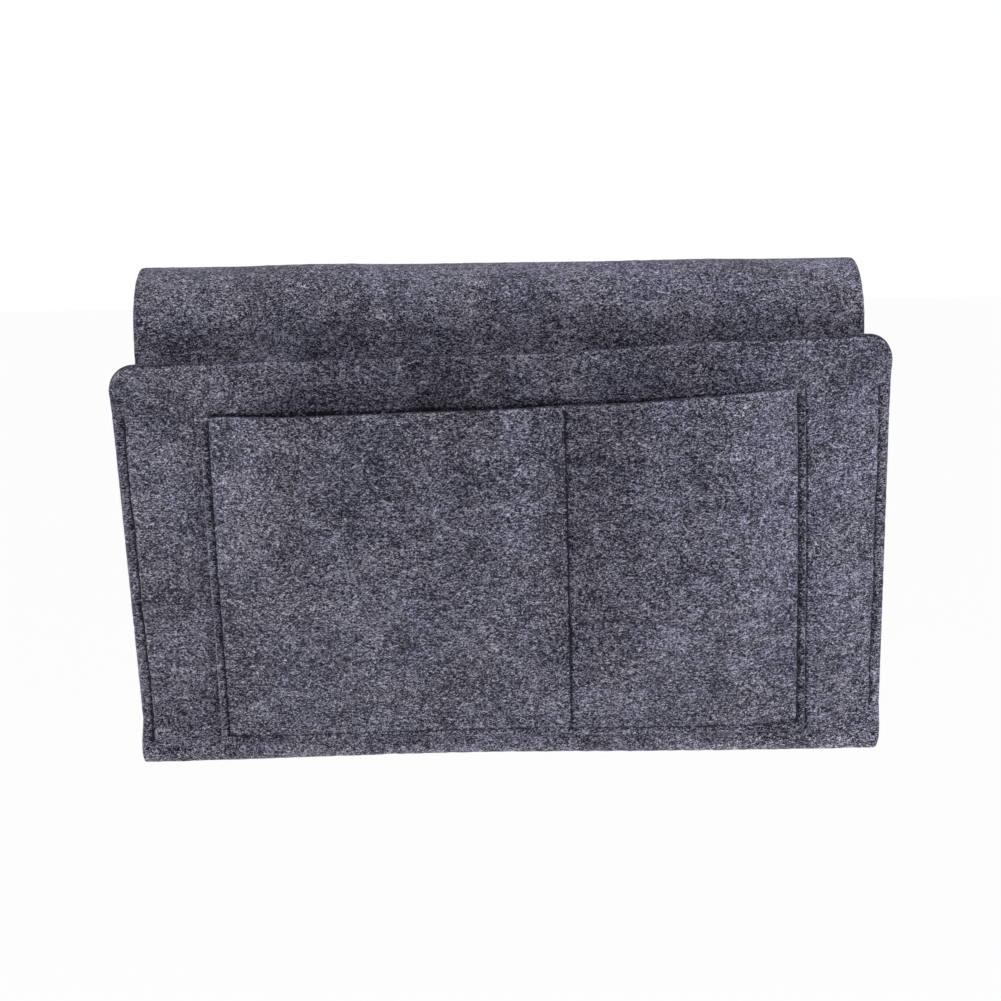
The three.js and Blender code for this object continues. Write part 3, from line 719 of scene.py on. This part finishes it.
def stretch(name, drop, side, rounded):
    """One half of the tongue, its bend and the felt below it; rounded where it ends in cut corners."""
    length = FLAT_HALF_Y + bend + drop
    last = length - EDGE_STEPS[-1] if rounded else length
    bent = FLAT_HALF_Y + bend
    straight = np.linspace(bent, last, max(3, int((last - FLAT_HALF_Y - bend) / PITCH)))
    flat_rows = np.linspace(0, FLAT_HALF_Y, FLAT_ROWS)
    rows = [flat_rows, np.linspace(FLAT_HALF_Y, bent, BEND_ROWS)[1:], straight[1:]]
    if rounded:
        rows.append((length - EDGE_STEPS[::-1])[1:])
    s_rows = np.concatenate(rows)
    mids, edges, flats = [], [], []
    for s in s_rows:
        into = max(0.0, s - (length - CORNER)) if rounded else 0.0
        x = fitted(TONGUE_HALF - CORNER + math.sqrt(max(0.0, CORNER**2 - into**2)), columns)
        turn = min(max((s - FLAT_HALF_Y) / ROLL_MID, 0.0), math.pi / 2)
        loose = ease((s - LOOSE_FROM) / LOOSE_OVER) * ease((length - s) / LOOSE_END)
        wavy = TONGUE_WAVE * ripple(x, s + 0 * x, seed=8, least=60, most=140, count=4) * loose
        y = min(s, FLAT_HALF_Y) + ROLL_MID * math.sin(turn) + wavy * math.sin(turn)
        down = ROLL_MID * (1 - math.cos(turn)) + max(0.0, s - FLAT_HALF_Y - bend)
        z = FELT / 2 - down + wavy * math.cos(turn)
        mids.append(np.column_stack([x, side * y, z]))
        edge = TONGUE_HALF - np.abs(x)
        if rounded:
            edge = round_edge(edge, length - s + 0 * x)
        edge[[0, -1]] = 0.0
        edges.append(np.maximum(edge, 0.0) * (1.0 if not rounded or s < length else 0.0))
        flats.append(np.column_stack([x, middle_flat - side * s + 0 * x]))
    return felt_sheet(name, np.array(mids), np.array(edges), np.array(flats), -side, layer=-1.0), length


roll_drop = -ROLL_RADIUS - (FOLD_Z + JOIN_HEIGHT)
middle_flat = join_flat - (FLAT_HALF_Y + bend + roll_drop)
roll, roll_length = stretch("main_sheet_roll", roll_drop, -1.0, False)
tail, tail_length = stretch("main_sheet_tail", -ROLL_RADIUS - TAIL_END, 1.0, True)


# The two pocket panels
def panel(name, mid, width, height, divider, seam, flat_shift):
    a = spread(width / 2, (divider,))
    middle = np.linspace(EDGE_STEPS[-1], height - EDGE_STEPS[-1], int(height / PITCH))[1:-1]
    A, B = np.meshgrid(a, np.concatenate([EDGE_STEPS, middle, height - EDGE_STEPS[::-1]]))
    edge = np.maximum(np.minimum(width / 2 - np.abs(A), np.minimum(B, height - B)), 0.0)
    edge[[0, -1]] = 0.0
    edge[:, [0, -1]] = 0.0
    top = height - SEAM_SHORT
    seams = [
        seam_dent(np.abs(A) - seam, B, POCKET_INSET, top),
        seam_dent(A - divider, B, POCKET_INSET, top),
        LOW_SEAM * np.array(seam_dent(B - POCKET_INSET, A, -seam, seam)),
    ]
    dent = np.minimum(sum(s[0] for s in seams), GROOVE)
    press_and_shade = np.minimum(sum(s[1] for s in seams), 1.0)
    # painted shadow along the upper cut edge with a painted highlight below it, and painted shade on the
    # lower cut edge
    press_and_shade = press_and_shade + cut_shadow_and_highlight(height - B) + LOW_EDGE_SHADE * bump(B, 0.0, LOW_EDGE_WIDTH)
    # painted shade on the rims outside the seams, more on the right
    press_and_shade = press_and_shade + np.where(A < 0, RIM_SHADE[-1], RIM_SHADE[1]) * ease(np.abs(A) - seam)
    return felt_sheet(name, mid(A, B), edge, np.dstack([A + flat_shift, B]), -1.0, dent, press_and_shade)


OUTER_FLAT, INNER_FLAT = 700.0, 1200.0  # the panels' places beside the main sheet on the flat cut
outer_pocket = panel(
    "outer_pocket_panel", pocket_mid, POCKET_WIDTH, POCKET_HEIGHT, DIVIDER, POCKET_SEAM, OUTER_FLAT
)
inner_pocket = panel(
    "inner_pocket_panel", inner_mid, INNER_WIDTH, INNER_HEIGHT, INNER_DIVIDER, INNER_SEAM, INNER_FLAT
)


# Stitches
def stitches(name, surface, line, sign, sunk=BURIED, sides=8, steps=10):
    """One thread along a line of places on a surface, diving into the felt between stitches."""
    line = np.asarray(line, float)
    runs = np.linalg.norm(np.diff(line, axis=0), axis=1)
    run = np.concatenate([[0], np.cumsum(runs)])
    count = max(1, round(run[-1] / STITCH))
    t = np.linspace(0, count, count * steps + 1)
    s = t * run[-1] / count
    p, q = np.interp(s, run, line[:, 0]), np.interp(s, run, line[:, 1])
    apart = 0.3
    across = surface(p + apart, q) - surface(p - apart, q)
    up = surface(p, q + apart) - surface(p, q - apart)
    n = unit(sign * np.cross(across, up))
    centre = surface(p, q)
    side = unit(np.cross(n, np.gradient(centre, axis=0)))
    own = np.random.default_rng(sum(map(ord, name)))
    wander = np.interp(t, np.arange(count + 1), own.normal(0, STITCH_WANDER, count + 1))
    lift = np.sqrt(np.abs(np.sin(np.pi * t)))
    slant = STITCH_SLANT * (t - np.floor(t) - 0.5) + wander
    centre = centre + n * (FELT / 2 - sunk + STITCH_RISE * lift)[:, None] + side * slant[:, None]
    tangent = unit(np.gradient(centre, axis=0))
    side = unit(np.cross(n, tangent))
    angles = np.linspace(0, 2 * np.pi, sides, endpoint=False)[None, :, None]
    rim = np.cos(angles) * side[:, None] + np.sin(angles) * np.cross(tangent, side)[:, None]
    ring = centre[:, None] + THREAD * rim
    at = np.arange(len(t) * sides).reshape(len(t), sides)
    nxt = np.roll(at, -1, axis=1)
    faces = np.stack([at[:-1], nxt[:-1], nxt[1:], at[1:]], -1).reshape(-1, 4).tolist()
    faces += [at[0, ::-1].tolist(), at[-1].tolist()]
    obj = mesh_object(name, ring.reshape(-1, 3), faces, thread)
    along = np.broadcast_to((s / THREAD / 2)[:, None], at.shape)
    around = np.broadcast_to(np.arange(sides) / sides * THREAD_ROUND, at.shape)
    keep(obj, "thread_place", "FLOAT_VECTOR", np.dstack([along, around, 0 * along]))
    return obj


def line_of(*corners):
    """Places about 1 mm apart along straight runs between corners."""
    out = [np.array([corners[0]], float)]
    for a, b in zip(corners[:-1], corners[1:]):
        a, b = np.array(a, float), np.array(b, float)
        share = np.linspace(0, 1, max(2, int(np.linalg.norm(b - a))))[1:, None]
        out.append(a + (b - a) * share)
    return np.concatenate(out)


BACKTACK = 7.0  # the seams start and end with a few stitches sewn back
OFFSET = 0.55  # beside the others
DIVIDER_START = 1.6  # a divider seam begins this far above the bottom seam
SIDE_POINTS = 140


def side_line(side):
    v = np.linspace(SEAM_END[side], SEAM_TOP, SIDE_POINTS)
    seam = np.column_stack([side * seam_x(v), v])
    first = seam[v < SEAM_END[side] + BACKTACK][::-1] - [side * OFFSET, 0]
    last = seam[v > SEAM_TOP - BACKTACK][::-1] - [side * OFFSET, 0]
    return np.concatenate([first, seam, last])


def under_pocket(a, b):
    return front_mid(*on_front(a, b))


def under_inner(a, b):
    return back_mid(a, INNER_LOW + b)


sewn = []
for label, side in (("left_seam", -1), ("right_seam", 1)):
    sewn.append(stitches(label + "_needle_stitches", front_mid, side_line(side), 1.0))
    sewn.append(stitches(label + "_bobbin_stitches", back_mid, side_line(side), -1.0))
for label, seam, divider, height, surface, under, sunk in (
    ("pocket", POCKET_SEAM, DIVIDER, POCKET_HEIGHT, pocket_mid, under_pocket, BURIED_INSIDE),
    ("inner", INNER_SEAM, INNER_DIVIDER, INNER_HEIGHT, inner_mid, under_inner, BURIED),
):
    top = height - SEAM_SHORT
    low = POCKET_INSET
    tack = top - BACKTACK
    corners = (-seam, top), (-seam, low), (seam, low), (seam, top)
    border = line_of((OFFSET - seam, tack), *corners, (seam - OFFSET, tack))
    middle = line_of((divider, low + DIVIDER_START), (divider, top), (divider + OFFSET, tack))
    for kind, line in (("seam", border), ("divider", middle)):
        sewn.append(stitches(f"{label}_{kind}_needle_stitches", surface, line, 1.0))
        sewn.append(stitches(f"{label}_{kind}_bobbin_stitches", under, line, -1.0, sunk))

# What each piece stands for and moves with
for obj, nodes in (
    (pouch, ("front_panel", "bottom_fold", "back_panel")),
    (outer_pocket, ("outer_pocket",)),
    (inner_pocket, ("inner_pocket",)),
):
    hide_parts(*nodes)
    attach(obj, "bag")
for obj in sewn:
    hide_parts(obj.name.replace("stitches", "thread"))
    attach(obj, "bag")
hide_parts("tongue", "outer_roll")
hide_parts("inner_roll", "tail")
# The bending would start this far before its arc and end this far after it; the loop only bakes each
# stretch's placement into its points
ROLL_BLEND, TAIL_BLEND = (8.0, 3.0), (14.0, 14.0)
for obj, body, side, (before, after) in ((roll, "bag", -1, ROLL_BLEND), (tail, "tail", 1, TAIL_BLEND)):
    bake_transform(obj)


# Floor and light
FLOOR_LEVEL = -0.62
FLOOR_SIZE = 30.0
FLOOR_WHITE = 0.97


def seen_white(tree, lit, share):
    """Mixes plain white into what the camera sees directly of a floor or backdrop."""
    white = add(tree, "ShaderNodeBackground" if lit.node.type == "BACKGROUND" else "ShaderNodeEmission")
    white.inputs["Color"].default_value = (1.0, 1.0, 1.0, 1.0)
    white.inputs["Strength"].default_value = 1.0
    path = add(tree, "ShaderNodeLightPath")
    mix = add(tree, "ShaderNodeMixShader")
    put(tree, mix.inputs[0], calc(tree, "MULTIPLY", path.outputs["Is Camera Ray"], share))
    put(tree, mix.inputs[1], lit)
    put(tree, mix.inputs[2], white.outputs[0])
    return mix.outputs[0]


def add_floor():
    mesh = bpy.data.meshes.new("floor")
    s = FLOOR_SIZE
    corners = [(-s, -s, FLOOR_LEVEL), (s, -s, FLOOR_LEVEL), (s, s, FLOOR_LEVEL), (-s, s, FLOOR_LEVEL)]
    mesh.from_pydata(corners, [], [(0, 1, 2, 3)])
    pale = bpy.data.materials.new("floor")
    pale.use_nodes = True
    tree = pale.node_tree
    shader = tree.nodes["Principled BSDF"]
    shader.inputs["Base Color"].default_value = (0.60, 0.60, 0.60, 1.0)
    shader.inputs["Roughness"].default_value = 0.9
    shader.inputs["Specular IOR Level"].default_value = 0.1
    seen = seen_white(tree, shader.outputs[0], FLOOR_WHITE)
    put(tree, tree.nodes["Material Output"].inputs["Surface"], seen)
    mesh.materials.append(pale)
    floor = bpy.data.objects.new("floor", mesh)
    bpy.context.scene.collection.objects.link(floor)


LIGHT_AROUND = 0.24


def add_surround():
    """Even soft light from all around."""
    surround = bpy.data.worlds.new("studio")
    bpy.context.scene.world = surround
    surround.use_nodes = True
    tree = surround.node_tree
    tree.nodes.clear()
    light = add(tree, "ShaderNodeBackground")
    light.inputs["Color"].default_value = (0.98, 0.985, 1.0, 1.0)
    light.inputs["Strength"].default_value = LIGHT_AROUND
    out = add(tree, "ShaderNodeOutputWorld")
    put(tree, out.inputs["Surface"], seen_white(tree, light.outputs[0], 1.0))


def soft_box(name, place, target, size, watts, colour=(1.0, 1.0, 1.0)):
    lamp = bpy.data.lights.new(name, "AREA")
    lamp.shape = "RECTANGLE"
    lamp.size, lamp.size_y = size
    lamp.energy = watts
    lamp.color = colour
    obj = bpy.data.objects.new(name, lamp)
    bpy.context.scene.collection.objects.link(obj)
    obj.location = place
    obj.rotation_euler = (Vector(target) - Vector(place)).to_track_quat("-Z", "Y").to_euler()
    obj.visible_camera = False


add_floor()
add_surround()
soft_box("top_light", place=(0.3, -0.3, 1.1), target=(0.0, -0.05, 0.0), size=(1.6, 1.0), watts=16.0)
soft_box("front_light", place=(0.8, -0.8, 0.55), target=(0.1, -0.1, -0.05), size=(1.0, 0.8), watts=4.6)
soft_box("low_light", place=(0.35, -0.10, -0.6), target=(0.1, -0.10, -0.2), size=(1.0, 0.35), watts=8.2)
soft_box("left_light", place=(-1.1, -0.1, -0.4), target=(0.0, -0.1, -0.2), size=(0.8, 0.6), watts=21.5)
soft_box(
    "right_light",
    place=(1.1, -0.2, 0.12),
    target=(0.0, -0.1, -0.08),
    size=(0.8, 1.0),
    watts=4.6,
    colour=(0.66, 0.79, 1.0),
)

# Camera, found from the photo's edges
DISTANCE = 0.760
PICTURE = 1001.0
LENS_PIXELS = 1733.9
EYE_X = -0.0157
EYE_Z = 0.0003
DOWN = math.radians(7.615)
YAW = math.radians(1.112)
TILT = math.radians(-0.857)
lens = bpy.data.cameras.new("camera")
lens.sensor_width = 36.0
lens.lens = LENS_PIXELS / PICTURE * lens.sensor_width
lens.clip_start = 0.01
camera = bpy.data.objects.new("camera", lens)
bpy.context.scene.collection.objects.link(camera)
forward = Vector((math.sin(YAW) * math.cos(DOWN), math.cos(YAW) * math.cos(DOWN), -math.sin(DOWN)))
right = forward.cross(Vector((0, 0, 1))).normalized()
right = right * math.cos(TILT) + right.cross(forward) * math.sin(TILT)
turned = Matrix((right, right.cross(forward), -forward)).transposed().to_4x4()
eye = Vector((EYE_X, BACK_Y * MM - DISTANCE * math.cos(DOWN), EYE_Z))
camera.matrix_world = Matrix.Translation(eye) @ turned
bpy.context.scene.camera = camera
bpy.context.scene.view_settings.view_transform = "Standard"
